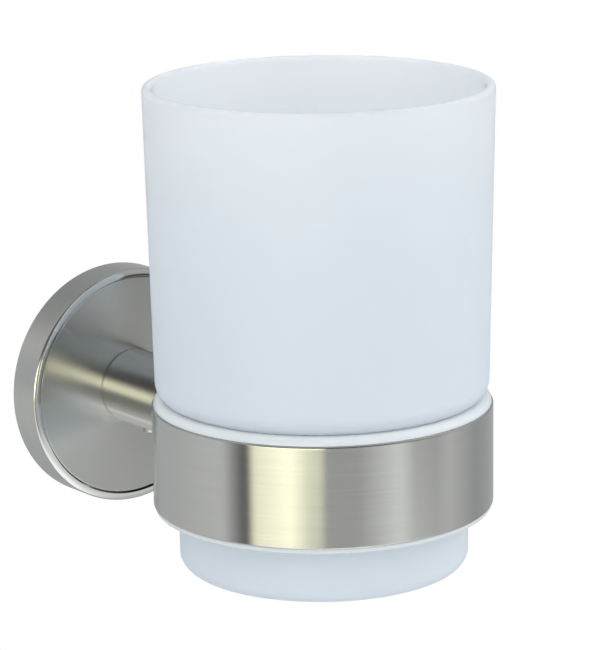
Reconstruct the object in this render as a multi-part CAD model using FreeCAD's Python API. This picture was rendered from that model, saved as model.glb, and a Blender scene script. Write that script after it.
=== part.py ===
import FreeCAD, Part
import math
import os
from collections import namedtuple

# A frosted glass tumbler in a wall holder. Millimetres, +Z up. The wall is the plane Y = 0,
# the holder reaches out along -Y, and the origin is on the wall, on the axis of the arm.

# Glass tumbler
tumbler_height = 103.5
rim_diameter = 73.4
body_diameter = 70.8          # outside, where the body runs into the shoulder
shoulder_step = 4.55          # body radius less foot radius
shoulder_root = 0.35          # hollow fillet between shoulder and foot
foot_height = 36.5            # underside of the foot up to the underside of the shoulder
foot_edge_radius = 3.2
glass_wall = 2.0
base_thickness = 4.5
base_fillet = 4.0
punt_depth = 1.0              # shallow hollow under the base
punt_diameter = 44.0

# Liner: sleeve with a lip on top of the band, and a ring pushed on it from below
foot_clearance = 0.5
seat_clearance = 0.3
seat_depth = 0.6              # how far the shoulder sinks below the top of the lip
liner_wall = 1.2
lip_height = 1.7
lip_setback = 0.4             # lips stand back from the outside of the band
lip_edge_radius = 1.6         # nearly the whole height, so the lip reads as a bead
lower_lip_height = 1.1
lower_lip_edge_radius = 0.45
skirt_depth = 2.5
skirt_clearance = 0.1
push_fit = 0.03

# Ring band
ring_height = 21.6
ring_wall = 1.5
ring_edge_radius = 0.35

# Screw through the back of the band into the arm
ring_screw_diameter = 5.0
ring_screw_length = 10.0
ring_screw_head_diameter = 8.6
ring_screw_head_height = 1.6
ring_screw_socket = 3.0       # across flats
ring_screw_socket_depth = 1.0
screw_head_clearance = 0.3    # head to liner sleeve
screw_hole_clearance = 0.15
thread_clearance = 0.05
thread_run_out = 1.0

# Arm
arm_length = 34.1             # face of the disc to the outside of the band
arm_diameter = 17.0
arm_edge_chamfer = 0.3
saddle_clearance = 0.02       # between the hollowed end and the band

# Rosette: a rim standing on the wall and a disc let into its front
rosette_diameter = 54.2
rosette_depth = 8.7           # wall to the crest of the rim
rim_width = 1.7               # radial, outside of the rim to the seam round the disc
rim_edge_radius = 0.6
rim_crown_radius = 2.8        # flatter arc from the rounded edge up to the crest
rim_inner_chamfer = 0.1
seam_gap = 0.25
disc_setback = 0.5            # face of the disc behind the crest of the rim
disc_thickness = 2.0
disc_edge_chamfer = 0.3
ledge_width = 1.8
ledge_thickness = 1.5

# Wall plate and its post
plate_thickness = 2.5
plate_width = 16.0
plate_clearance = 3.4         # plate end to the inside of the rim
fixing_hole_diameter = 5.0
post_diameter = 8.0
post_reach = 15.0             # past the face of the disc, into the arm
post_clearance = 0.1
post_tip_chamfer = 0.6
post_end_gap = 1.0
disc_hole_clearance = 0.2
tenon_diameter = 6.0
post_flat_depth = 0.6
post_flat_length = 7.0

# Set screw that locks the arm on the post, from below
set_screw_diameter = 4.0
set_screw_from_face = 7.3
set_screw_proud = 0.8         # stands out below the arm
set_screw_socket = 2.0        # across flats
set_screw_socket_depth = 1.6

# Radii and levels that follow from the sizes above
body_radius = body_diameter / 2
foot_radius = body_radius - shoulder_step
shoulder_radius = shoulder_step - shoulder_root
sleeve_bore = foot_radius + foot_clearance
sleeve_radius = sleeve_bore + liner_wall
screw_seat = sleeve_radius + screw_head_clearance + ring_screw_head_height
ring_inner = math.hypot(screw_seat, ring_screw_head_diameter / 2)
ring_outer = ring_inner + ring_wall
lip_radius = ring_outer - lip_setback
skirt_radius = ring_inner - skirt_clearance
ring_top = ring_height / 2
ring_bottom = -ring_height / 2
lip_top = ring_top + lip_height
shoulder_bottom = lip_top - seat_depth
shoulder_level = shoulder_bottom + shoulder_radius
foot_bottom = shoulder_bottom - foot_height
rim_top = foot_bottom + tumbler_height
disc_face = rosette_depth - disc_setback
axis_to_wall = disc_face + arm_length + ring_outer
rosette_radius = rosette_diameter / 2
pocket_radius = rosette_radius - rim_width
disc_radius = pocket_radius - seam_gap
post_radius = post_diameter / 2
post_flat_level = post_radius - post_flat_depth

UP = FreeCAD.Vector(0, 0, 1)
TO_WALL = FreeCAD.Vector(0, 1, 0)
ORIGIN = FreeCAD.Vector(0, 0, 0)
TUMBLER_AXIS = FreeCAD.Vector(0, -axis_to_wall, 0)


# The middle of an arc in a profile, between the two points that the arc joins
ArcMiddle = namedtuple("ArcMiddle", "radius level")


def upright(radius, level):
    """A point of a profile that is turned about +Z."""
    return FreeCAD.Vector(radius, 0, level)


def lying(radius, depth):
    """A point of a profile that is turned about the arm's axis, depth counted from the wall."""
    return FreeCAD.Vector(radius, -depth, 0)


def bend(centre, radius, degrees):
    """The middle of an arc, from its centre, its radius and the direction of its middle."""
    turn = math.radians(degrees)
    return ArcMiddle(centre[0] + radius * math.cos(turn), centre[1] + radius * math.sin(turn))


def outline(points, place):
    """The closed run of lines and arcs through a profile's points."""
    edges = []
    for i, point in enumerate(points):
        if isinstance(point, ArcMiddle):
            continue
        after = points[(i + 1) % len(points)]
        if isinstance(after, ArcMiddle):
            end = points[(i + 2) % len(points)]
            edges.append(Part.Arc(place(*point), place(*after), place(*end)).toShape())
        else:
            edges.append(Part.LineSegment(place(*point), place(*after)).toShape())
    return Part.Wire(edges)


def turned(points, place, axis, at=ORIGIN):
    """A solid of revolution from a closed half profile."""
    face = Part.Face(outline(points, place))
    solid = Part.Solid(face.revolve(ORIGIN, axis, 360).Shells[0])
    if solid.Volume < 0:
        solid.reverse()
    solid.translate(at)
    return solid


def rod(radius, length, start, direction):
    return Part.makeCylinder(radius, length, FreeCAD.Vector(*start), direction)


def hexagon(across_flats, depth, start, direction):
    """A six-sided socket, cut along direction from start."""
    reach = across_flats / math.sqrt(3)
    ring = [math.radians(60 * i) for i in range(7)]
    corners = [FreeCAD.Vector(reach * math.cos(t), reach * math.sin(t), 0) for t in ring]
    prism = Part.Face(Part.makePolygon(corners)).extrude(FreeCAD.Vector(0, 0, depth))
    prism.Placement = FreeCAD.Placement(FreeCAD.Vector(*start), FreeCAD.Rotation(UP, direction))
    return prism


def glass_tumbler():
    """Stepped glass with an even wall: foot, quarter-round shoulder, flaring body, round lip."""
    half = glass_wall / 2
    rim_radius = rim_diameter / 2
    lip_level = rim_top - half
    foot_inside = foot_radius - glass_wall
    base_top = foot_bottom + base_thickness
    root = (foot_radius + shoulder_root, shoulder_bottom - shoulder_root)
    inner_shoulder = shoulder_radius - glass_wall
    inner_root = shoulder_root + glass_wall
    hollow = shoulder_level - inner_shoulder
    centre = (body_radius - shoulder_radius, shoulder_level)
    foot_edge = (foot_radius - foot_edge_radius, foot_bottom + foot_edge_radius)
    inner_edge = (foot_inside - base_fillet, base_top + base_fillet)
    punt_radius = (punt_diameter**2 / 4 + punt_depth**2) / (2 * punt_depth)
    punt_angle = math.degrees(math.asin(punt_diameter / 2 / punt_radius))
    return turned(
        [
            (0, foot_bottom + punt_depth),
            bend((0, foot_bottom + punt_depth - punt_radius), punt_radius, 90 - punt_angle / 2),
            (punt_diameter / 2, foot_bottom),
            (foot_edge[0], foot_bottom),
            bend(foot_edge, foot_edge_radius, -45),
            (foot_radius, foot_edge[1]),
            (foot_radius, root[1]),
            bend(root, shoulder_root, 135),
            (root[0], shoulder_bottom),
            bend(centre, shoulder_radius, -45),
            (body_radius, shoulder_level),
            (rim_radius, lip_level),
            bend((rim_radius - half, lip_level), half, 90),
            (rim_radius - glass_wall, lip_level),
            (body_radius - glass_wall, shoulder_level),
            bend(centre, inner_shoulder, -45),
            (centre[0], hollow),
            bend((root[0], hollow - inner_root), inner_root, 135),
            (foot_inside, hollow - inner_root),
            (foot_inside, inner_edge[1]),
            bend(inner_edge, base_fillet, -45),
            (inner_edge[0], base_top),
            (0, base_top),
        ],
        upright, UP, TUMBLER_AXIS,
    )


def liner_sleeve():
    """Sleeve round the foot, with a rounded lip on the band and a hollow seat for the shoulder."""
    centre = (body_radius - shoulder_radius, shoulder_level)
    seat_radius = shoulder_radius + seat_clearance
    rise = shoulder_level - lip_top
    seat_edge = (centre[0] + math.sqrt(seat_radius**2 - rise**2), lip_top)
    inset = sleeve_bore - centre[0]
    seat_foot = (sleeve_bore, shoulder_level - math.sqrt(seat_radius**2 - inset**2))
    middle = (math.degrees(math.atan2(-rise, seat_edge[0] - centre[0]))
              + math.degrees(math.atan2(seat_foot[1] - shoulder_level, inset))) / 2
    edge = (lip_radius - lip_edge_radius, lip_top - lip_edge_radius)
    return turned(
        [
            (sleeve_bore, ring_bottom),
            (sleeve_radius, ring_bottom),
            (sleeve_radius, ring_top - skirt_depth),
            (skirt_radius, ring_top - skirt_depth),
            (skirt_radius, ring_top),
            (lip_radius, ring_top),
            (lip_radius, edge[1]),
            bend(edge, lip_edge_radius, 45),
            (edge[0], lip_top),
            seat_edge,
            bend(centre, seat_radius, middle),
            seat_foot,
        ],
        upright, UP, TUMBLER_AXIS,
    )


def liner_lower_ring():
    """Ring pushed on the sleeve from below; its lip closes the bottom of the band."""
    bottom = ring_bottom - lower_lip_height
    edge = (lip_radius - lower_lip_edge_radius, bottom + lower_lip_edge_radius)
    hole = sleeve_radius + push_fit
    return turned(
        [
            (sleeve_bore, bottom),
            (edge[0], bottom),
            bend(edge, lower_lip_edge_radius, -45),
            (lip_radius, edge[1]),
            (lip_radius, ring_bottom),
            (skirt_radius, ring_bottom),
            (skirt_radius, ring_bottom + skirt_depth),
            (hole, ring_bottom + skirt_depth),
            (hole, ring_bottom),
            (sleeve_bore, ring_bottom),
        ],
        upright, UP, TUMBLER_AXIS,
    )


def ring_band():
    """Rolled steel band with softened edges and one hole at the back."""
    top = ring_top - ring_edge_radius
    low = ring_bottom + ring_edge_radius
    out = ring_outer - ring_edge_radius
    band = turned(
        [
            (ring_inner, ring_bottom),
            (out, ring_bottom),
            bend((out, low), ring_edge_radius, -45),
            (ring_outer, low),
            (ring_outer, top),
            bend((out, top), ring_edge_radius, 45),
            (out, ring_top),
            (ring_inner, ring_top),
        ],
        upright, UP, TUMBLER_AXIS,
    )
    hole = rod(ring_screw_diameter / 2 + screw_hole_clearance, ring_outer, TUMBLER_AXIS, TO_WALL)
    return band.cut(hole)


def ring_screw():
    """Low-headed socket screw; the head lies in the space between band and sleeve."""
    seat = -axis_to_wall + screw_seat
    top = seat - ring_screw_head_height
    head = rod(ring_screw_head_diameter / 2, ring_screw_head_height, (0, top, 0), TO_WALL)
    shank = rod(ring_screw_diameter / 2, ring_screw_length, (0, seat, 0), TO_WALL)
    socket = hexagon(ring_screw_socket, ring_screw_socket_depth, (0, top, 0), TO_WALL)
    return head.fuse(shank).removeSplitter().cut(socket)


def support_arm():
    """Round bar: bored for the post at the wall end, hollowed to sit on the band at the other."""
    radius = arm_diameter / 2
    face = disc_face
    far = face + arm_length + radius
    bar = turned(
        [
            (0, face),
            (radius - arm_edge_chamfer, face),
            (radius, face + arm_edge_chamfer),
            (radius, far),
            (0, far),
        ],
        lying, TO_WALL,
    )
    saddle = rod(ring_outer + saddle_clearance, 2 * arm_diameter, (0, -axis_to_wall, -arm_diameter), UP)
    bore = rod(post_radius + post_clearance, post_reach + post_end_gap, (0, -face, 0), -TO_WALL)
    thread = rod(
        ring_screw_diameter / 2 + thread_clearance,
        screw_seat + ring_screw_length + thread_run_out,
        TUMBLER_AXIS,
        TO_WALL,
    )
    set_hole = rod(
        set_screw_diameter / 2 + thread_clearance, radius, (0, -face - set_screw_from_face, 0), -UP
    )
    return bar.cut(saddle).cut(bore).cut(thread).cut(set_hole)


def set_screw():
    """Headless socket screw under the arm, its flat end on the flat of the post."""
    low = -arm_diameter / 2 - set_screw_proud
    place = -disc_face - set_screw_from_face
    length = -post_flat_level - low
    body = rod(set_screw_diameter / 2, length, (0, place, low), UP)
    return body.cut(hexagon(set_screw_socket, set_screw_socket_depth, (0, place, low), UP))


def rosette_rim():
    """Turned rim with a rounded edge, a crowned front and a ledge that carries the disc."""
    front = rosette_depth
    ledge_front = disc_face - disc_thickness
    ledge_back = ledge_front - ledge_thickness
    crest = pocket_radius + rim_inner_chamfer
    lean = math.asin((rosette_radius - rim_edge_radius - crest) / (rim_crown_radius - rim_edge_radius))
    crown = (crest, front - rim_crown_radius)
    meet = 90 - math.degrees(lean)
    meeting = bend(crown, rim_crown_radius, meet)
    edge = bend(crown, rim_crown_radius - rim_edge_radius, meet)
    return turned(
        [
            (pocket_radius, 0),
            (rosette_radius, 0),
            (rosette_radius, edge.level),
            bend(edge, rim_edge_radius, meet / 2),
            (meeting.radius, meeting.level),
            bend(crown, rim_crown_radius, (meet + 90) / 2),
            (crest, front),
            (pocket_radius, front - rim_inner_chamfer),
            (pocket_radius, ledge_front),
            (disc_radius - ledge_width, ledge_front),
            (disc_radius - ledge_width, ledge_back),
            (pocket_radius, ledge_back),
        ],
        lying, TO_WALL,
    )


def rosette_disc():
    """Flat front disc, let into the rim and held there by the end of the arm."""
    front = disc_face
    back = front - disc_thickness
    hole = post_radius + disc_hole_clearance
    return turned(
        [
            (hole, back),
            (disc_radius, back),
            (disc_radius, front - disc_edge_chamfer),
            (disc_radius - disc_edge_chamfer, front),
            (hole, front),
        ],
        lying, TO_WALL,
    )


def wall_plate():
    """Round-ended plate screwed to the wall, with a hole for the tenon of the post."""
    end_radius = plate_width / 2
    hole_offset = pocket_radius - plate_clearance - end_radius
    plate = Part.makeBox(
        2 * hole_offset, plate_thickness, plate_width,
        FreeCAD.Vector(-hole_offset, -plate_thickness, -end_radius),
    )
    for side in (-1, 1):
        plate = plate.fuse(rod(end_radius, plate_thickness, (side * hole_offset, 0, 0), -TO_WALL))
    plate = plate.removeSplitter()
    for side in (-1, 1):
        plate = plate.cut(
            rod(fixing_hole_diameter / 2, plate_thickness, (side * hole_offset, 0, 0), -TO_WALL)
        )
    return plate.cut(rod(tenon_diameter / 2, plate_thickness, (0, 0, 0), -TO_WALL))


def wall_post():
    """Post riveted in the plate; it passes the disc and carries the arm, with a flat for the set screw."""
    tip = disc_face + post_reach
    post = turned(
        [
            (0, 0),
            (tenon_diameter / 2, 0),
            (tenon_diameter / 2, plate_thickness),
            (post_radius, plate_thickness),
            (post_radius, tip - post_tip_chamfer),
            (post_radius - post_tip_chamfer, tip),
            (0, tip),
        ],
        lying, TO_WALL,
    )
    middle = disc_face + set_screw_from_face
    flat = Part.makeBox(
        post_diameter, post_flat_length, post_radius,
        FreeCAD.Vector(-post_radius, -middle - post_flat_length / 2, -post_flat_level - post_radius),
    )
    return post.cut(flat)


pieces = {
    "glass_tumbler": glass_tumbler,
    "liner_sleeve": liner_sleeve,
    "liner_lower_ring": liner_lower_ring,
    "ring_band": ring_band,
    "ring_screw": ring_screw,
    "support_arm": support_arm,
    "set_screw": set_screw,
    "rosette_rim": rosette_rim,
    "rosette_disc": rosette_disc,
    "wall_plate": wall_plate,
    "wall_post": wall_post,
}

os.makedirs("parts", exist_ok=True)
for name, make in pieces.items():
    shape = make()
    shape.exportStep("parts/" + name + ".step")
    print(name, len(shape.Solids), "solid", round(shape.Volume), "mm3")
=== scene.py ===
import math

import bmesh
import bpy
from mathutils import Matrix, Vector


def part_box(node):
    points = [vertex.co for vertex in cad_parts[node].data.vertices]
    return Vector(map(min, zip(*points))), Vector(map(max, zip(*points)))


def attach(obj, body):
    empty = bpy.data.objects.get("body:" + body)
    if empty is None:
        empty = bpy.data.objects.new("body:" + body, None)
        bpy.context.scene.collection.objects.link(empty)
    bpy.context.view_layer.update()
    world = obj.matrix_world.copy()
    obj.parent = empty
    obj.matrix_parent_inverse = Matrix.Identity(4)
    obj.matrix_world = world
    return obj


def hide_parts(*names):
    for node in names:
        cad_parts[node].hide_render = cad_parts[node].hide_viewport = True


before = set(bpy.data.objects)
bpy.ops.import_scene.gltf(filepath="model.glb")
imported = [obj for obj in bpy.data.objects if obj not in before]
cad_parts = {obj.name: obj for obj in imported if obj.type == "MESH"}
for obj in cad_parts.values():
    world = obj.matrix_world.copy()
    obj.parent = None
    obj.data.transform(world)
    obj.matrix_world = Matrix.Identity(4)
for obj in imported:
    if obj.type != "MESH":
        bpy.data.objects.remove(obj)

mm = 0.001
pureWhite = (1, 1, 1, 1)
scene = bpy.context.scene
scene.view_settings.view_transform = "Standard"
scene.cycles.max_bounces = 32          # light goes back and forth between glass and liner
scene.cycles.diffuse_bounces = 16
scene.cycles.transmission_bounces = 24
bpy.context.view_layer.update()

# The two axes that everything is turned about, read from the frame
glassLow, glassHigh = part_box("glass_tumbler")
ringLow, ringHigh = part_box("ring_band")
tumblerAxis = Vector(((ringLow.x + ringHigh.x) / 2, (ringLow.y + ringHigh.y) / 2, 0))
armAxis = Vector((0, 0, 0))
print("frame loaded, tumbler axis at", [round(v / mm, 2) for v in tumblerAxis], "mm")


# Small helpers for node trees

def feed(tree, socket, value):
    if isinstance(value, bpy.types.NodeSocket):
        tree.links.new(value, socket)
    else:
        socket.default_value = value


def addNode(tree, kind, values=None, **settings):
    made = tree.nodes.new(kind)
    for name, value in settings.items():
        setattr(made, name, value)
    for socket, value in (values or {}).items():
        feed(tree, made.inputs[socket], value)
    return made


def sumOf(tree, operation, *values):
    return addNode(tree, "ShaderNodeMath", dict(enumerate(values)), operation=operation).outputs[0]


def turnOf(tree, operation, *values):
    return addNode(tree, "ShaderNodeVectorMath", dict(enumerate(values)), operation=operation).outputs[0]


def spread(tree, value, low, high, start=0.0, end=1.0):
    ranged = {"Value": value, "From Min": start, "From Max": end, "To Min": low, "To Max": high}
    return addNode(tree, "ShaderNodeMapRange", ranged).outputs["Result"]


def between(tree, share, first, second):
    # inputs 6 and 7 and output 2 are the Mix node's colours
    mixed = addNode(tree, "ShaderNodeMix", data_type="RGBA")
    feed(tree, mixed.inputs[0], share)
    feed(tree, mixed.inputs[6], first)
    feed(tree, mixed.inputs[7], second)
    return mixed.outputs[2]


def noiseOf(tree, vector, scale, detail):
    return addNode(tree, "ShaderNodeTexNoise", {
        "Vector": vector,
        "Scale": scale,
        "Detail": detail,
    }).outputs[0]


def bumpOf(tree, height, strength, depth):
    return addNode(tree, "ShaderNodeBump", {
        "Height": height,
        "Strength": strength,
        "Distance": depth,
    }).outputs[0]


def newFinish(name, constants):
    finish = bpy.data.materials.new(name)
    finish.use_nodes = True
    shader = finish.node_tree.nodes["Principled BSDF"]
    for socket, value in constants.items():
        shader.inputs[socket].default_value = value
    return finish, finish.node_tree, shader


# Geometry Nodes tree that turns a half profile about an axis

def buildTurningTree():
    tree = bpy.data.node_groups.new("turnedProfile", "GeometryNodeTree")
    sockets = {
        "Profile": "NodeSocketGeometry",
        "Segments": "NodeSocketInt",
        "Axis Point": "NodeSocketVector",
        "Axis Tilt": "NodeSocketVector",
        "Sharp Angle": "NodeSocketFloat",
        "Weld Distance": "NodeSocketFloat",
        "Finish": "NodeSocketMaterial",
    }
    for name, kind in sockets.items():
        tree.interface.new_socket(name, in_out="INPUT", socket_type=kind)
    tree.interface.new_socket("Piece", in_out="OUTPUT", socket_type="NodeSocketGeometry")
    given = addNode(tree, "NodeGroupInput").outputs

    # one row of grid points for each turn step, one column for each profile point
    count = addNode(tree, "GeometryNodeAttributeDomainSize", {"Geometry": given["Profile"]})
    points = count.outputs["Point Count"]
    steps = addNode(tree, "FunctionNodeIntegerMath", {0: given["Segments"], 1: 1}, operation="ADD")
    sheet = addNode(tree, "GeometryNodeMeshGrid", {
        "Vertices X": steps.outputs[0],
        "Vertices Y": points,
    })
    index = addNode(tree, "GeometryNodeInputIndex").outputs[0]
    column = addNode(tree, "FunctionNodeIntegerMath", {0: index, 1: points}, operation="MODULO")
    row = addNode(tree, "FunctionNodeIntegerMath", {0: index, 1: points}, operation="DIVIDE_FLOOR")
    place = addNode(tree, "GeometryNodeInputPosition").outputs[0]
    sample = addNode(tree, "GeometryNodeSampleIndex", data_type="FLOAT_VECTOR", domain="POINT")
    feed(tree, sample.inputs["Geometry"], given["Profile"])
    feed(tree, sample.inputs["Value"], place)
    feed(tree, sample.inputs["Index"], column.outputs[0])
    profile = addNode(tree, "ShaderNodeSeparateXYZ", {0: sample.outputs[0]}).outputs

    share = sumOf(tree, "DIVIDE", row.outputs[0], given["Segments"])
    angle = sumOf(tree, "MULTIPLY", share, math.tau)
    turned = addNode(tree, "ShaderNodeCombineXYZ", {
        "X": sumOf(tree, "MULTIPLY", profile["X"], sumOf(tree, "COSINE", angle)),
        "Y": sumOf(tree, "MULTIPLY", profile["X"], sumOf(tree, "SINE", angle)),
        "Z": profile["Z"],
    })
    shaped = addNode(tree, "GeometryNodeSetPosition", {
        "Geometry": sheet.outputs["Mesh"],
        "Position": turned.outputs[0],
    })
    closed = addNode(tree, "GeometryNodeMergeByDistance", {
        "Geometry": shaped.outputs[0],
        "Distance": given["Weld Distance"],
    })
    tilt = addNode(tree, "FunctionNodeEulerToRotation", {"Euler": given["Axis Tilt"]})
    stood = addNode(tree, "GeometryNodeTransform", {
        "Geometry": closed.outputs[0],
        "Translation": given["Axis Point"],
        "Rotation": tilt.outputs[0],
    })
    bend = addNode(tree, "GeometryNodeInputMeshEdgeAngle").outputs["Unsigned Angle"]
    sharp = sumOf(tree, "GREATER_THAN", bend, given["Sharp Angle"])
    smooth = addNode(tree, "GeometryNodeSetShadeSmooth", {"Geometry": stood.outputs[0]}, domain="FACE")
    crisp = addNode(tree, "GeometryNodeSetShadeSmooth", {
        "Geometry": smooth.outputs[0],
        "Selection": sharp,
        "Shade Smooth": False,
    }, domain="EDGE")
    whole = addNode(tree, "GeometryNodeRealizeInstances", {"Geometry": crisp.outputs[0]})
    dressed = addNode(tree, "GeometryNodeSetMaterial", {
        "Geometry": whole.outputs[0],
        "Material": given["Finish"],
    })
    result = addNode(tree, "NodeGroupOutput")
    tree.links.new(dressed.outputs[0], result.inputs["Piece"])
    return tree


turning = {
    "tree": buildTurningTree(),
    "segments": 192,
    "weld": 0.0005 * mm,
    "sharpAngle": math.radians(32),
    "arcStep": math.radians(9),     # longest step round a bend of the profile
    "edgeLoop": 0.12 * mm,          # support loop beside each bend
    "loopedFrom": 4,                # a straight shorter than this many loops gets none
    "longestRun": 6 * mm,
    "flatAngle": math.radians(0.5),   # faces of a CAD copy within this become one
    "softSteps": 2,
}


def roundedRun(corners, closed):
    # corners are (radius, level, bend radius); the first and last of an open run stay as they are
    points = []
    count = len(corners)
    for i, (radius, level, bend) in enumerate(corners):
        here = Vector((radius, level))
        if bend == 0 or (not closed and i in (0, count - 1)):
            points.append(here)
            continue
        back = (Vector(corners[i - 1][:2]) - here).normalized()
        onward = (Vector(corners[(i + 1) % count][:2]) - here).normalized()
        half = back.angle(onward) / 2
        centre = here + (back + onward).normalized() * bend / math.sin(half)
        spoke = here + back * bend / math.tan(half) - centre
        other = here + onward * bend / math.tan(half) - centre
        sweep = spoke.angle(other)
        if spoke.x * other.y - spoke.y * other.x < 0:
            sweep = -sweep
        steps = max(2, math.ceil(abs(sweep) / turning["arcStep"]))
        for step in range(steps + 1):
            points.append(centre + Matrix.Rotation(sweep * step / steps, 2) @ spoke)
    if closed:
        points.append(points[0].copy())
    return points


def withLoops(points):
    # support loops beside the ends of each straight, and even steps along the long ones
    loop = turning["edgeLoop"]
    made = [points[0]]
    for first, second in zip(points, points[1:]):
        length = (second - first).length
        if length < turning["weld"]:
            continue
        if length > turning["loopedFrom"] * loop:
            steps = math.ceil((length - 2 * loop) / turning["longestRun"])
            ends = [loop + (length - 2 * loop) * s / steps for s in range(steps + 1)]
            made.extend(first.lerp(second, end / length) for end in ends)
        made.append(second)
    return made


def plainMesh(piece):
    # the evaluated shape becomes the piece's own mesh, with no modifier left
    graph = bpy.context.evaluated_depsgraph_get()
    mesh = bpy.data.meshes.new_from_object(piece.evaluated_get(graph))
    mesh.name = piece.name
    piece.modifiers.clear()
    piece.data = mesh
    return piece


def turnedPiece(name, corners, finish, axisPoint, closed=True, lying=False, segments=turning["segments"]):
    points = withLoops(roundedRun(corners, closed))
    mesh = bpy.data.meshes.new(name)
    links = [(i, i + 1) for i in range(len(points) - 1)]
    mesh.from_pydata([(p.x, 0, p.y) for p in points], links, [])
    piece = bpy.data.objects.new(name, mesh)
    modifier = piece.modifiers.new("turned", "NODES")
    modifier.node_group = turning["tree"]
    sizes = {
        "Segments": segments,
        "Axis Point": axisPoint,
        "Axis Tilt": (math.pi / 2, 0, 0) if lying else (0, 0, 0),
        "Sharp Angle": turning["sharpAngle"],
        "Weld Distance": turning["weld"],
        "Finish": finish,
    }
    for item in turning["tree"].interface.items_tree:
        if item.in_out == "INPUT" and item.name in sizes:
            modifier[item.identifier] = sizes[item.name]
    scene.collection.objects.link(piece)
    return plainMesh(piece)


def bevelledCopy(nodeName, name, finish, edge):
    # the CAD node's own shape, welded, with its flat faces whole and its edges softened
    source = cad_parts[nodeName].data
    work = bmesh.new()
    for vertex in source.vertices:
        work.verts.new(vertex.co)
    work.verts.ensure_lookup_table()
    for polygon in source.polygons:
        work.faces.new([work.verts[i] for i in polygon.vertices])
    bmesh.ops.remove_doubles(work, verts=work.verts, dist=turning["weld"])
    bmesh.ops.dissolve_limit(work, angle_limit=turning["flatAngle"], verts=work.verts, edges=work.edges)
    for face in work.faces:
        face.smooth = True
    mesh = bpy.data.meshes.new(name)
    work.to_mesh(mesh)
    work.free()
    piece = bpy.data.objects.new(name, mesh)
    mesh.materials.append(finish)
    scene.collection.objects.link(piece)
    soft = piece.modifiers.new("softEdges", "BEVEL")
    soft.width = edge
    soft.segments = turning["softSteps"]
    soft.limit_method = "ANGLE"
    soft.angle_limit = turning["sharpAngle"]
    soft.harden_normals = True
    return plainMesh(piece)


# Finishes

noiseRange = (0.3, 0.7)       # nearly all values of a noise lie in here

brushed = {
    # piece: colour in the grain, colour on it, least and greatest roughness, pull and depth of grain
    "ring": ((0.58, 0.585, 0.575, 1), (0.615, 0.62, 0.61, 1), 0.16, 0.19, 0.9, 0.004 * mm),
    # the arm's steel is darker and warmer than the rim's: painted shade and a painted warm reflection
    "arm": ((0.53, 0.525, 0.50, 1), (0.57, 0.565, 0.54, 1), 0.09, 0.11, 0.8, 0.004 * mm),
    "rim": ((0.575, 0.58, 0.57, 1), (0.62, 0.625, 0.615, 1), 0.09, 0.11, 0.8, 0.004 * mm),
    # the disc's steel is darker than the rim's: painted shade
    "disc": ((0.525, 0.53, 0.52, 1), (0.55, 0.555, 0.545, 1), 0.24, 0.26, 0.65, 0.0015 * mm),
    "worn": (0.73, 0.73, 0.71, 1),
    "fineLines": 6500,        # grain lines to the metre, across the grain
    "broadLines": 900,
    "lineStretch": 45,        # noise to the metre, along the grain
    "fineShare": 0.75,        # of the streaks, the rest are broad
    "grainStrength": 0.12,
    "grainTurn": 0.25,        # a quarter turn lays the highlight across the grain
    "wearStart": 0.52,        # pointiness of an edge that begins to wear, and of a worn one
    "wearFull": 0.62,
}


def brushedSteel(name, look, axisPoint, along):
    # grain runs round the axis, so the highlight is drawn out across it
    dark, light, roughLow, roughHigh, pull, depth = brushed[look]
    finish, tree, shader = newFinish(name, {
        "Metallic": 1.0,
        "Anisotropic": pull,
        "Anisotropic Rotation": brushed["grainTurn"],
    })
    place = addNode(tree, "ShaderNodeTexCoord").outputs["Object"]
    centred = turnOf(tree, "SUBTRACT", place, axisPoint)
    axis = (0, 0, 1) if along == "Z" else (0, 1, 0)
    flat = addNode(tree, "ShaderNodeSeparateXYZ", {0: centred}).outputs
    other = flat["Y"] if along == "Z" else flat["Z"]
    squares = sumOf(tree, "ADD", sumOf(tree, "MULTIPLY", flat["X"], flat["X"]),
                    sumOf(tree, "MULTIPLY", other, other))
    acrossGrain = sumOf(tree, "ADD", sumOf(tree, "SQRT", squares), flat[along])

    def lines(perMetre):
        vector = addNode(tree, "ShaderNodeCombineXYZ", {
            "X": sumOf(tree, "MULTIPLY", flat["X"], brushed["lineStretch"]),
            "Y": sumOf(tree, "MULTIPLY", other, brushed["lineStretch"]),
            "Z": sumOf(tree, "MULTIPLY", acrossGrain, perMetre),
        }).outputs[0]
        return noiseOf(tree, vector, 1, 3)

    fine = lines(brushed["fineLines"])
    broad = lines(brushed["broadLines"])
    streak = sumOf(tree, "ADD", sumOf(tree, "MULTIPLY", fine, brushed["fineShare"]),
                   sumOf(tree, "MULTIPLY", broad, 1 - brushed["fineShare"]))
    grain = spread(tree, streak, 0, 1, *noiseRange)
    edges = addNode(tree, "ShaderNodeNewGeometry").outputs["Pointiness"]
    wear = spread(tree, edges, 0, 1, brushed["wearStart"], brushed["wearFull"])
    colour = between(tree, grain, dark, light)
    feed(tree, shader.inputs["Base Color"], between(tree, wear, colour, brushed["worn"]))
    feed(tree, shader.inputs["Roughness"], spread(tree, grain, roughLow, roughHigh))
    around = turnOf(tree, "NORMALIZE", turnOf(tree, "CROSS_PRODUCT", axis, centred))
    feed(tree, shader.inputs["Tangent"], around)
    feed(tree, shader.inputs["Normal"], bumpOf(tree, fine, brushed["grainStrength"], depth))
    return finish


plated = {
    "dark": (0.44, 0.44, 0.43, 1),
    "light": (0.58, 0.58, 0.56, 1),
    "roughLow": 0.30,
    "roughHigh": 0.48,
    "cloud": 220,             # patches to the metre
    "grit": 4200,
    "gritStrength": 0.3,
    "gritDepth": 0.006 * mm,
}


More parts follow.
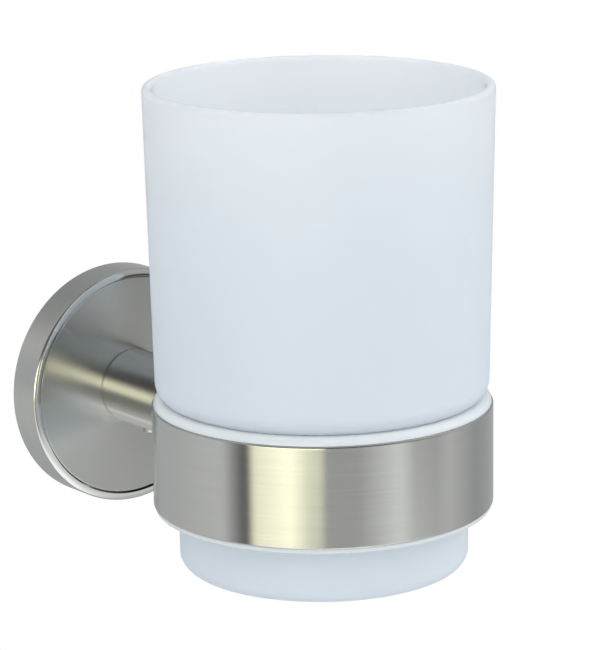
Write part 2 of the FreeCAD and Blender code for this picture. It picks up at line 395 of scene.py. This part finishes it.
def platedSteel():
    finish, tree, shader = newFinish("platedSteel", {"Metallic": 1.0})
    place = addNode(tree, "ShaderNodeTexCoord").outputs["Object"]
    cloud = noiseOf(tree, place, plated["cloud"], 4)
    grit = noiseOf(tree, place, plated["grit"], 2)
    feed(tree, shader.inputs["Base Color"], between(tree, cloud, plated["dark"], plated["light"]))
    rough = spread(tree, grit, plated["roughLow"], plated["roughHigh"], *noiseRange)
    feed(tree, shader.inputs["Roughness"], rough)
    feed(tree, shader.inputs["Normal"], bumpOf(tree, grit, plated["gritStrength"], plated["gritDepth"]))
    return finish


frosted = {
    "bending": 1.5,           # index of refraction
    "thin": (0.975, 0.985, 1.0, 1),   # lighter and clearer near the rim; towards the foot the colour darkens as painted shade, and less light passes
    "shadedFoot": (0.85, 0.885, 0.925, 1),
    "thinLevel": 85 * mm,
    "deepLevel": 5 * mm,
    "clouding": 0.15,         # how far the clouds shift the colour between the two
    "throughLow": 0.28,       # share of light that passes at the foot and at the rim
    "throughHigh": 0.56,
    "roughLow": 0.50,
    "roughHigh": 0.60,
    "cloud": 45,              # patches to the metre
    "etch": 2600,             # etched grains to the metre
    "etchStrength": 0.2,
    "etchDepth": 0.010 * mm,
}


def frostedGlass():
    finish, tree, shader = newFinish("frostedGlass", {"IOR": frosted["bending"]})
    place = addNode(tree, "ShaderNodeTexCoord").outputs["Object"]
    cloud = noiseOf(tree, place, frosted["cloud"], 3)
    etch = noiseOf(tree, place, frosted["etch"], 2)
    level = addNode(tree, "ShaderNodeSeparateXYZ", {0: place}).outputs["Z"]
    rise = spread(tree, level, 0, 1, frosted["deepLevel"], frosted["thinLevel"])
    through = spread(tree, rise, frosted["throughLow"], frosted["throughHigh"])
    feed(tree, shader.inputs["Transmission Weight"], through)
    # painted shade: the glass colour darkens from the rim level down to the foot level
    share = sumOf(tree, "ADD", rise, spread(tree, cloud, -frosted["clouding"], frosted["clouding"]))
    feed(tree, shader.inputs["Base Color"], between(tree, share, frosted["shadedFoot"], frosted["thin"]))
    rough = spread(tree, cloud, frosted["roughLow"], frosted["roughHigh"], *noiseRange)
    feed(tree, shader.inputs["Roughness"], rough)
    feed(tree, shader.inputs["Normal"], bumpOf(tree, etch, frosted["etchStrength"], frosted["etchDepth"]))
    return finish


milky = {
    "bending": 1.49,          # index of refraction
    "clear": (0.96, 0.975, 0.98, 1),
    "cloudy": (0.935, 0.955, 0.96, 1),
    "through": 0.25,
    "roughLow": 0.16,
    "roughHigh": 0.26,
    "cloud": 160,             # patches to the metre
    "skin": 900,
    "skinStrength": 0.15,
    "skinDepth": 0.006 * mm,
}


def milkyPlastic():
    finish, tree, shader = newFinish("milkyPlastic", {
        "Transmission Weight": milky["through"],
        "IOR": milky["bending"],
    })
    place = addNode(tree, "ShaderNodeTexCoord").outputs["Object"]
    cloud = noiseOf(tree, place, milky["cloud"], 3)
    skin = noiseOf(tree, place, milky["skin"], 2)
    feed(tree, shader.inputs["Base Color"], between(tree, cloud, milky["cloudy"], milky["clear"]))
    rough = spread(tree, skin, milky["roughLow"], milky["roughHigh"], *noiseRange)
    feed(tree, shader.inputs["Roughness"], rough)
    feed(tree, shader.inputs["Normal"], bumpOf(tree, skin, milky["skinStrength"], milky["skinDepth"]))
    return finish


finishes = {
    "ring": brushedSteel("brushedRing", "ring", tumblerAxis, "Z"),
    "arm": brushedSteel("brushedArm", "arm", armAxis, "Y"),
    "rim": brushedSteel("brushedRim", "rim", armAxis, "Y"),
    "disc": brushedSteel("brushedDisc", "disc", armAxis, "Y"),
    "plated": platedSteel(),
    "glass": frostedGlass(),
    "liner": milkyPlastic(),
}
print("finishes made:", ", ".join(finishes))


def dress(piece, body, slotName, *nodes):
    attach(piece, body)
    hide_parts(*nodes)
    print("piece", piece.name, len(piece.data.polygons), "faces")


# Glass tumbler

glass = {
    "rim": (glassHigh.x - glassLow.x) / 2 - 0.01 * mm,    # just inside the CAD box
    "top": glassHigh.z,
    "bottom": glassLow.z,
    "body": 35.4 * mm,
    "foot": 30.85 * mm,
    "footHeight": 36.5 * mm,
    "wall": 2.0 * mm,
    "base": 4.5 * mm,
    "shoulderRoot": 0.35 * mm,
    "shoulderShare": 0.995,   # bends stop just short of meeting, in the shoulder and the lip
    "lipShare": 0.99,
    "footEdge": 3.2 * mm,
    "baseFillet": 4.0 * mm,
    "puntDepth": 1.0 * mm,    # shallow hollow under the base
    "puntRadius": 22 * mm,
    "puntSteps": 8,
    "segments": 224,
}


def makeTumbler():
    wall = glass["wall"]
    half = wall / 2
    step = glass["body"] - glass["foot"]
    shoulder = step - glass["shoulderRoot"]
    underside = glass["bottom"] + glass["footHeight"]
    inside = glass["foot"] - wall
    floor = glass["bottom"] + glass["base"]
    hollow = underside + wall
    # the body flares from its own radius at the top of the shoulder
    flare = (glass["rim"] - glass["body"]) / (glass["top"] - half - underside - shoulder)
    punt = []
    for i in range(glass["puntSteps"]):
        share = i / glass["puntSteps"]
        level = glass["bottom"] + glass["puntDepth"] * (1 - share * share)
        punt.append((glass["puntRadius"] * share, level, 0))
    corners = punt + [
        (glass["puntRadius"], glass["bottom"], 0),
        (glass["foot"], glass["bottom"], glass["footEdge"]),
        (glass["foot"], underside, glass["shoulderRoot"]),
        (glass["body"] - flare * shoulder, underside, shoulder * glass["shoulderShare"]),
        (glass["rim"] + flare * half, glass["top"], half * glass["lipShare"]),
        (glass["rim"] - wall + flare * half, glass["top"], half * glass["lipShare"]),
        (glass["body"] - wall - flare * shoulder, hollow, (shoulder - wall) * glass["shoulderShare"]),
        (inside, hollow, glass["shoulderRoot"] + wall),
        (inside, floor, glass["baseFillet"]),
        (0, floor, 0),
    ]
    piece = turnedPiece("frostedTumbler", corners, finishes["glass"], tumblerAxis, closed=False,
                        segments=glass["segments"])
    dress(piece, "tumbler", "frosted_glass", "glass_tumbler")


makeTumbler()


# Liner: sleeve with the lip on the band, and the ring below

liner = {
    "bore": 31.35 * mm,
    "wall": 1.2 * mm,
    "lip": 35.817 * mm,
    "skirt": 34.617 * mm,
    "skirtDepth": 2.5 * mm,
    "topEdge": 1.6 * mm,
    "lowEdge": 0.45 * mm,
    "seatGap": 0.012 * mm,    # between the shoulder and its hollow seat
    "seatSteps": 6,
    "pushFit": 0.03 * mm,     # between the sleeve and the ring pushed on it
    "fine": 0.15 * mm,
}


def makeLiner():
    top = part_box("liner_sleeve")[1].z
    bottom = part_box("liner_lower_ring")[0].z
    bandTop, bandBottom = ringHigh.z, ringLow.z
    outside = liner["bore"] + liner["wall"]
    fine = liner["fine"]
    # the seat follows the shoulder of the glass
    shoulder = glass["body"] - glass["foot"] - glass["shoulderRoot"]
    middle = Vector((glass["body"] - shoulder, glass["bottom"] + glass["footHeight"] + shoulder))
    reach = shoulder + liner["seatGap"]
    high = -math.asin((middle.y - top) / reach)
    low = -math.acos((liner["bore"] - middle.x) / reach)
    seat = []
    for i in range(liner["seatSteps"] + 1):
        turn = high + (low - high) * i / liner["seatSteps"]
        seat.append((middle.x + reach * math.cos(turn), middle.y + reach * math.sin(turn), 0))
    sleeve = [
        (liner["bore"], bandBottom, 0),
        (outside, bandBottom, 0),
        (outside, bandTop - liner["skirtDepth"], fine),
        (liner["skirt"], bandTop - liner["skirtDepth"], fine),
        (liner["skirt"], bandTop, 0),
        (liner["lip"], bandTop, fine),
        (liner["lip"], top, liner["topEdge"]),
    ] + seat
    piece = turnedPiece("linerSleeve", sleeve, finishes["liner"], tumblerAxis)
    dress(piece, "holder", "liner_plastic", "liner_sleeve")
    hole = outside + liner["pushFit"]
    lower = [
        (liner["bore"], bottom, fine),
        (liner["lip"], bottom, liner["lowEdge"]),
        (liner["lip"], bandBottom, fine),
        (liner["skirt"], bandBottom, 0),
        (liner["skirt"], bandBottom + liner["skirtDepth"], fine),
        (hole, bandBottom + liner["skirtDepth"], fine),
        (hole, bandBottom, 0),
        (liner["bore"], bandBottom, 0),
    ]
    piece = turnedPiece("linerLowerRing", lower, finishes["liner"], tumblerAxis)
    dress(piece, "holder", "liner_plastic", "liner_lower_ring")


makeLiner()


# Steel band

band = {
    "outside": (ringHigh.x - ringLow.x) / 2,
    "wall": 1.5 * mm,
    "edge": 0.35 * mm,
    "innerEdge": 0.1 * mm,
    "segments": 256,
}


def makeBand():
    inside = band["outside"] - band["wall"]
    corners = [
        (inside, ringLow.z, band["innerEdge"]),
        (band["outside"], ringLow.z, band["edge"]),
        (band["outside"], ringHigh.z, band["edge"]),
        (inside, ringHigh.z, band["innerEdge"]),
    ]
    piece = turnedPiece("steelBand", corners, finishes["ring"], tumblerAxis, segments=band["segments"])
    dress(piece, "holder", "brushed_steel", "ring_band")


makeBand()


# Rosette: rim and inset disc, turned about the arm

rosetteLow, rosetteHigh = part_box("rosette_rim")
rosette = {
    "outside": (rosetteHigh.x - rosetteLow.x) / 2,
    "crest": -rosetteLow.y,
    "face": -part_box("rosette_disc")[0].y,
    "rimWidth": 1.7 * mm,
    "rimEdge": 0.6 * mm,      # rounded edge, then a flatter crown up to the crest
    "rimCrown": 2.8 * mm,
    "rimSteps": 8,
    "innerEdge": 0.1 * mm,
    "discEdge": 0.3 * mm,
    "seam": 0.25 * mm,
    "disc": 2.0 * mm,
    "ledgeWidth": 1.8 * mm,
    "ledge": 1.5 * mm,
    "hole": 4.2 * mm,
    "fine": 0.1 * mm,
    "segments": 222,          # no mesh row on a diagonal, where pointiness would draw a line
}


def makeRosette():
    pocket = rosette["outside"] - rosette["rimWidth"]
    disc = pocket - rosette["seam"]
    ledgeFront = rosette["face"] - rosette["disc"]
    top = pocket + rosette["innerEdge"]
    crown, edge = rosette["rimCrown"], rosette["rimEdge"]
    meet = math.acos((rosette["outside"] - edge - top) / (crown - edge))
    centre = Vector((top, rosette["crest"] - crown))
    edgeCentre = centre + Vector((math.cos(meet), math.sin(meet))) * (crown - edge)
    front = []
    for middle, radius, start, end in ((edgeCentre, edge, 0, meet), (centre, crown, meet, math.pi / 2)):
        for i in range(rosette["rimSteps"] + 1):
            turn = start + (end - start) * i / rosette["rimSteps"]
            front.append((middle.x + radius * math.cos(turn), middle.y + radius * math.sin(turn), 0))
    rim = [
        (pocket, 0, rosette["fine"]),
        (rosette["outside"], 0, rosette["fine"]),
    ] + front + [
        (pocket, rosette["crest"] - rosette["innerEdge"], 0),
        (pocket, ledgeFront, 0),
        (disc - rosette["ledgeWidth"], ledgeFront, rosette["fine"]),
        (disc - rosette["ledgeWidth"], ledgeFront - rosette["ledge"], rosette["fine"]),
        (pocket, ledgeFront - rosette["ledge"], rosette["fine"]),
    ]
    piece = turnedPiece("rosetteRim", rim, finishes["rim"], armAxis, lying=True,
                        segments=rosette["segments"])
    dress(piece, "holder", "brushed_steel", "rosette_rim")
    face = [
        (rosette["hole"], ledgeFront, rosette["fine"]),
        (disc, ledgeFront, rosette["fine"]),
        (disc, rosette["face"], rosette["discEdge"]),
        (rosette["hole"], rosette["face"], rosette["fine"]),
    ]
    piece = turnedPiece("rosetteDisc", face, finishes["disc"], armAxis, lying=True,
                        segments=rosette["segments"])
    dress(piece, "holder", "brushed_steel", "rosette_disc")


makeRosette()


# Arm, screws, plate and post keep the CAD shapes, with softened edges

softened = {
    "support_arm": ("supportArm", "arm", "brushed_steel", 0.12 * mm),
    "set_screw": ("lockScrew", "plated", "plain_steel", 0.08 * mm),
    "ring_screw": ("ringScrew", "plated", "plain_steel", 0.08 * mm),
    "wall_plate": ("wallPlate", "plated", "plain_steel", 0.20 * mm),
    "wall_post": ("wallPost", "plated", "plain_steel", 0.10 * mm),
}
for nodeName, (pieceName, finishName, slotName, edge) in softened.items():
    dress(bevelledCopy(nodeName, pieceName, finishes[finishName], edge), "holder", slotName, nodeName)


# Studio: floor, world, lamps and camera

studio = {
    "floorLevel": -0.30,
    "floorRadius": 0.30,
    "floorReach": -0.25,      # middle of the floor, out from the wall
    "floorSegments": 96,
    "floorColour": (0.80, 0.80, 0.80, 1),
    "floorRough": 0.9,
    "floorWhite": 0.85,       # share of plain white that the camera sees, the rest takes the shadow
    "softColour": (0.905, 0.965, 1.0, 1),
    "softFrom": (0.20, -0.45, 0.87),
    "softHigh": 1.14,         # soft light from there, and from the opposite side
    "softLow": 0.78,
    "even": (1, 1, 1),
    "cool": (0.97, 0.99, 1.00),
    "plain": (0.99, 1.00, 0.98),
    "warm": (1.00, 0.98, 0.74),
    # what the steel mirrors: azimuth in degrees about the object, brightness, tint
    "table": [
        (-180, 0.54, "cool"), (-146, 0.62, "plain"), (-120, 0.70, "plain"), (-109, 0.72, "plain"),
        (-100, 0.36, "plain"), (-94, 0.14, "plain"), (-90, 0.08, "plain"), (-85, 1.20, "warm"),
        (-60, 1.45, "warm"), (-48, 0.62, "warm"), (-38, 0.32, "plain"), (-33, 0.45, "plain"),
        (-15, 0.47, "plain"), (12, 0.95, "plain"), (22, 0.98, "plain"), (40, 0.84, "plain"),
        (62, 0.62, "plain"), (85, 0.43, "cool"), (130, 0.50, "cool"), (165, 0.40, "cool"),
        (180, 0.54, "cool"),
    ],
    "panels": [
        (-180, 0.54, "cool"), (-150, 0.53, "cool"), (-112, 0.65, "plain"), (-98, 0.30, "plain"),
        (-91, 0.08, "plain"), (-86, 1.8, "warm"), (-62, 3.7, "warm"), (-39.5, 4.2, "warm"),
        (-35.5, 0.40, "plain"), (-12, 0.40, "plain"), (12, 0.65, "plain"), (24, 0.55, "plain"),
        (40, 0.55, "plain"), (85, 0.42, "cool"), (150, 0.45, "cool"), (180, 0.54, "cool"),
    ],
    "ceiling": [
        (-180, 0.36, "cool"), (-160, 0.42, "plain"), (-148, 0.62, "plain"), (-110, 0.50, "plain"),
        (-85, 0.16, "plain"), (-14, 0.12, "plain"), (22, 0.12, "plain"), (36, 0.56, "plain"),
        (70, 0.58, "plain"), (110, 0.48, "cool"), (180, 0.36, "cool"),
    ],
    "underneath": [
        (-180, 0.50, "cool"), (-120, 0.60, "plain"), (-60, 1.50, "plain"), (12, 1.50, "plain"),
        (45, 0.70, "plain"), (120, 0.50, "cool"), (180, 0.50, "cool"),
    ],
    # dark card to the right: the share it leaves of what is behind it
    "flag": [
        (-180, 1.0, "even"), (14, 1.0, "even"), (25, 0.12, "even"), (42, 0.12, "even"),
        (54, 1.0, "even"), (180, 1.0, "even"),
    ],
    # elevations in degrees over which the card begins and ends, and one row gives way to the next
    "flagEdge": (-15.5, -13.5),
    "flagTop": (0, 5),
    "underEdge": (-42, -26),
    "tableEdge": (-13, -4),
    "ceilingEdge": (5, 18),
}


def makeFloor():
    finish, tree, shader = newFinish("paleFloor", {
        "Base Color": studio["floorColour"],
        "Roughness": studio["floorRough"],
    })
    path = addNode(tree, "ShaderNodeLightPath").outputs
    behind = sumOf(tree, "MAXIMUM", path["Is Glossy Ray"], path["Is Transmission Ray"])
    seen = sumOf(tree, "MAXIMUM", path["Is Camera Ray"], behind)
    white = addNode(tree, "ShaderNodeEmission", {"Color": pureWhite, "Strength": 1})
    share = sumOf(tree, "MULTIPLY", seen, studio["floorWhite"])
    mixed = addNode(tree, "ShaderNodeMixShader", {0: share})
    tree.links.new(shader.outputs[0], mixed.inputs[1])
    tree.links.new(white.outputs[0], mixed.inputs[2])
    tree.links.new(mixed.outputs[0], tree.nodes["Material Output"].inputs["Surface"])
    work = bmesh.new()
    bmesh.ops.create_circle(work, cap_ends=True, segments=studio["floorSegments"],
                            radius=studio["floorRadius"])
    bmesh.ops.translate(work, verts=work.verts, vec=(0, studio["floorReach"], studio["floorLevel"]))
    mesh = bpy.data.meshes.new("paleFloor")
    work.to_mesh(mesh)
    work.free()
    mesh.materials.append(finish)
    floor = bpy.data.objects.new("paleFloor", mesh)
    floor.visible_glossy = False
    scene.collection.objects.link(floor)


def shades(tree, share, stops):
    ramp = addNode(tree, "ShaderNodeValToRGB", {0: share})
    made = ramp.color_ramp.elements
    for i, (place, colour) in enumerate(stops):
        stop = made[0] if i == 0 else made[-1] if i == len(stops) - 1 else made.new(place)
        stop.position = place
        stop.color = list(colour) + [1]
    return ramp.outputs[0]


def makeWorld():
    world = bpy.data.worlds.new("studio")
    scene.world = world
    world.use_nodes = True
    world.cycles.sampling_method = "NONE"   # the soft light has no bright spots to seek
    tree = world.node_tree
    tree.nodes.clear()
    direction = addNode(tree, "ShaderNodeTexCoord").outputs["Generated"]
    flat = addNode(tree, "ShaderNodeSeparateXYZ", {0: direction}).outputs
    azimuth = sumOf(tree, "ARCTAN2", flat["X"], sumOf(tree, "MULTIPLY", flat["Y"], -1))
    share = spread(tree, azimuth, 0, 1, -math.pi, math.pi)
    rows = {}
    for row in ("underneath", "table", "panels", "ceiling", "flag"):
        rows[row] = shades(tree, share, [
            ((degrees + 180) / 360, [level * t for t in studio[tint]])
            for degrees, level, tint in studio[row]
        ])

    def above(edge):
        low, high = (math.sin(math.radians(degrees)) for degrees in studio[edge])
        return spread(tree, flat["Z"], 0, 1, low, high)

    mirrored = rows["underneath"]
    for edge, row in (("underEdge", "table"), ("tableEdge", "panels"), ("ceilingEdge", "ceiling")):
        mirrored = between(tree, above(edge), mirrored, rows[row])
    card = between(tree, above("flagTop"), rows["flag"], pureWhite)
    card = between(tree, above("flagEdge"), pureWhite, card)
    mirrored = turnOf(tree, "MULTIPLY", mirrored, card)
    room = addNode(tree, "ShaderNodeBackground", {"Color": mirrored, "Strength": 1})
    facing = addNode(tree, "ShaderNodeVectorMath", {0: direction, 1: studio["softFrom"]},
                     operation="DOT_PRODUCT")
    level = spread(tree, facing.outputs["Value"], studio["softLow"], studio["softHigh"], -1, 1)
    soft = addNode(tree, "ShaderNodeBackground", {"Color": studio["softColour"], "Strength": level})
    white = addNode(tree, "ShaderNodeBackground", {"Color": pureWhite, "Strength": 1})
    path = addNode(tree, "ShaderNodeLightPath").outputs
    lit = addNode(tree, "ShaderNodeMixShader", {0: path["Is Glossy Ray"]})
    tree.links.new(soft.outputs[0], lit.inputs[1])
    tree.links.new(room.outputs[0], lit.inputs[2])
    seen = sumOf(tree, "MAXIMUM", path["Is Camera Ray"], path["Is Transmission Ray"])
    whole = addNode(tree, "ShaderNodeMixShader", {0: seen})
    tree.links.new(lit.outputs[0], whole.inputs[1])
    tree.links.new(white.outputs[0], whole.inputs[2])
    result = addNode(tree, "ShaderNodeOutputWorld")
    tree.links.new(whole.outputs[0], result.inputs["Surface"])


lamps = {
    # name: place in metres, size, power in watts, colour
    "keyLamp": ((1.10, -0.55, 0.65), 0.7, 2.8, (0.91, 0.97, 1.0)),
    "fillLamp": ((-0.62, -0.55, 1.00), 0.8, 2.2, (0.97, 0.99, 1.0)),
}


def makeLamps():
    for name, (place, size, power, colour) in lamps.items():
        data = bpy.data.lights.new(name, "AREA")
        data.size = size
        data.energy = power
        data.color = colour
        lamp = bpy.data.objects.new(name, data)
        lamp.location = place
        lamp.rotation_euler = (tumblerAxis - Vector(place)).to_track_quat("-Z", "Y").to_euler()
        lamp.visible_glossy = False
        scene.collection.objects.link(lamp)


photo = {
    "azimuth": -37.92,        # degrees
    "elevation": 13.91,
    "roll": -0.76,
    "distance": 683.55 * mm,
    "focal": 3244.0,          # pixels, on an image this wide
    "width": 613,
    "sensor": 36,
    "sideways": -3.14 * mm,   # aim, from the tumbler's axis at the height of the arm
    "height": 27.30 * mm,
    "nearest": 0.05,          # metres, what the camera can see
    "farthest": 20,
}


def makeCamera():
    azimuth = math.radians(photo["azimuth"])
    elevation = math.radians(photo["elevation"])
    roll = math.radians(photo["roll"])
    right = Vector((math.cos(azimuth), math.sin(azimuth), 0))
    back = Vector((
        math.sin(azimuth) * math.cos(elevation),
        -math.cos(azimuth) * math.cos(elevation),
        math.sin(elevation),
    ))
    up = back.cross(right)
    aim = tumblerAxis + right * photo["sideways"] + Vector((0, 0, photo["height"]))
    across = right * math.cos(roll) + up * math.sin(roll)
    upright = up * math.cos(roll) - right * math.sin(roll)
    data = bpy.data.cameras.new("photoCamera")
    data.sensor_fit = "HORIZONTAL"
    data.sensor_width = photo["sensor"]
    data.lens = photo["sensor"] * photo["focal"] / photo["width"]
    data.clip_start = photo["nearest"]
    data.clip_end = photo["farthest"]
    camera = bpy.data.objects.new("photoCamera", data)
    camera.matrix_world = Matrix.Translation(aim + back * photo["distance"]) @ Matrix(
        (across, upright, back)).transposed().to_4x4()
    scene.collection.objects.link(camera)
    scene.camera = camera


makeFloor()
makeWorld()
makeLamps()
makeCamera()
print("studio set")
